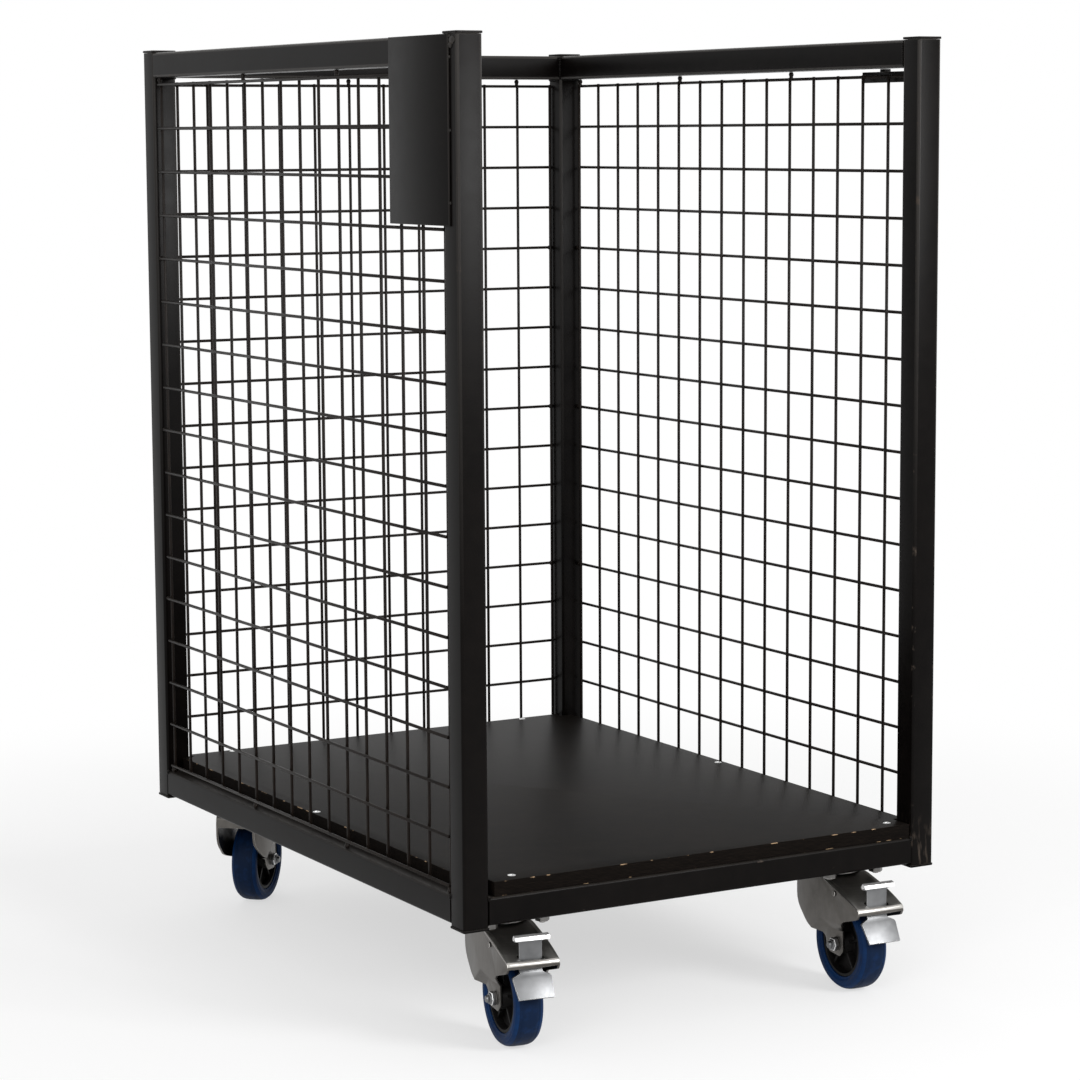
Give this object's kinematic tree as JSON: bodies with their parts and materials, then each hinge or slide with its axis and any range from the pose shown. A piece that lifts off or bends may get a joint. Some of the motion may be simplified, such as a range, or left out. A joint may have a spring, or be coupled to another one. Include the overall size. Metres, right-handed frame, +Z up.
{
  "type": "wire mesh trolley for stage drape",
  "caption": "Rolling steel cage cart with wire mesh on three sides, an open front, a plywood deck and swivel casters, for moving bagged drape.",
  "frame": {"origin": "middle of the frame in plan, on the upper face of the deck", "axes": "+X towards the right side panel, +Y towards the rear panel, +Z up; the front is open"},
  "size_m": [0.5761, 0.8175, 1.0123],
  "materials": {
    "powder_coat": "satin fine-textured black powder coat",
    "coated_wire": "satin black powder coat",
    "board": "black phenolic film on plywood",
    "zinc": "bright zinc plating",
    "rubber": "blue elastic rubber",
    "nylon": "moulded black nylon"
  },
  "bodies": {
    "cart": {"post_front_left": "powder_coat", "post_cap_head_front_left": "powder_coat", "post_cap_foot_front_left": "powder_coat", "post_front_right": "powder_coat", "post_cap_head_front_right": "powder_coat", "post_cap_foot_front_right": "powder_coat", "post_rear_left": "powder_coat", "post_cap_head_rear_left": "powder_coat", "post_cap_foot_rear_left": "powder_coat", "post_rear_right": "powder_coat", "post_cap_head_rear_right": "powder_coat", "post_cap_foot_rear_right": "powder_coat", "rail_bottom_front": "powder_coat", "rail_bottom_rear": "powder_coat", "rail_bottom_left": "powder_coat", "rail_bottom_right": "powder_coat", "rail_top_rear": "powder_coat", "rail_top_left": "powder_coat", "rail_top_right": "powder_coat", "mesh_panel_left": "coated_wire", "mesh_panel_right": "coated_wire", "mesh_panel_rear": "coated_wire", "side_plate": "powder_coat", "hanging_strip": "powder_coat", "deck_board": "board", "caster_pad_front_left": "powder_coat", "caster_plate_front_left": "zinc", "king_pin_front_left": "zinc", "caster_pad_front_right": "powder_coat", "caster_plate_front_right": "zinc", "king_pin_front_right": "zinc", "caster_pad_rear_left": "powder_coat", "caster_plate_rear_left": "zinc", "king_pin_rear_left": "zinc", "caster_pad_rear_right": "powder_coat", "caster_plate_rear_right": "zinc", "king_pin_rear_right": "zinc"},
    "fork_front_left": {"fork_front_left": "zinc", "axle_front_left": "zinc", "brake_pin_front_left": "zinc"},
    "wheel_front_left": {"tyre_front_left": "rubber", "hub_front_left": "nylon"},
    "pedal_front_left": {"brake_pedal_front_left": "zinc"},
    "fork_front_right": {"fork_front_right": "zinc", "axle_front_right": "zinc", "brake_pin_front_right": "zinc"},
    "wheel_front_right": {"tyre_front_right": "rubber", "hub_front_right": "nylon"},
    "pedal_front_right": {"brake_pedal_front_right": "zinc"},
    "fork_rear_left": {"fork_rear_left": "zinc", "axle_rear_left": "zinc"},
    "wheel_rear_left": {"tyre_rear_left": "rubber", "hub_rear_left": "nylon"},
    "fork_rear_right": {"fork_rear_right": "zinc", "axle_rear_right": "zinc"},
    "wheel_rear_right": {"tyre_rear_right": "rubber", "hub_rear_right": "nylon"}
  },
  "joints": [
    {"name": "swivel_front_left", "type": "hinge", "parent": "cart", "child": "fork_front_left", "pos_m": [-0.207, -0.312, -0.0578], "axis": [0, 0, 1], "continuous": true},
    {"name": "wheel_spin_front_left", "type": "hinge", "parent": "fork_front_left", "child": "wheel_front_left", "pos_m": [-0.21216, -0.34965, -0.1298], "axis": [0.9907, -0.1357, 0], "continuous": true},
    {"name": "brake_press_front_left", "type": "hinge", "parent": "fork_front_left", "child": "pedal_front_left", "pos_m": [-0.21365, -0.36055, -0.0708], "axis": [0.9907, -0.1357, 0], "range_deg": [0, 10]},
    {"name": "swivel_front_right", "type": "hinge", "parent": "cart", "child": "fork_front_right", "pos_m": [0.207, -0.312, -0.0578], "axis": [0, 0, 1], "continuous": true},
    {"name": "wheel_spin_front_right", "type": "hinge", "parent": "fork_front_right", "child": "wheel_front_right", "pos_m": [0.20508, -0.34995, -0.1298], "axis": [0.9987, -0.0506, 0], "continuous": true},
    {"name": "brake_press_front_right", "type": "hinge", "parent": "fork_front_right", "child": "pedal_front_right", "pos_m": [0.20452, -0.36094, -0.0708], "axis": [0.9987, -0.0506, 0], "range_deg": [0, 10]},
    {"name": "swivel_rear_left", "type": "hinge", "parent": "cart", "child": "fork_rear_left", "pos_m": [-0.207, 0.312, -0.0578], "axis": [0, 0, 1], "continuous": true},
    {"name": "wheel_spin_rear_left", "type": "hinge", "parent": "fork_rear_left", "child": "wheel_rear_left", "pos_m": [-0.18022, 0.33896, -0.1298], "axis": [-0.7096, 0.7046, 0], "continuous": true},
    {"name": "swivel_rear_right", "type": "hinge", "parent": "cart", "child": "fork_rear_right", "pos_m": [0.207, 0.312, -0.0578], "axis": [0, 0, 1], "continuous": true},
    {"name": "wheel_spin_rear_right", "type": "hinge", "parent": "fork_rear_right", "child": "wheel_rear_right", "pos_m": [0.21747, 0.34853, -0.1298], "axis": [-0.9613, 0.2756, 0], "continuous": true}
  ]
}
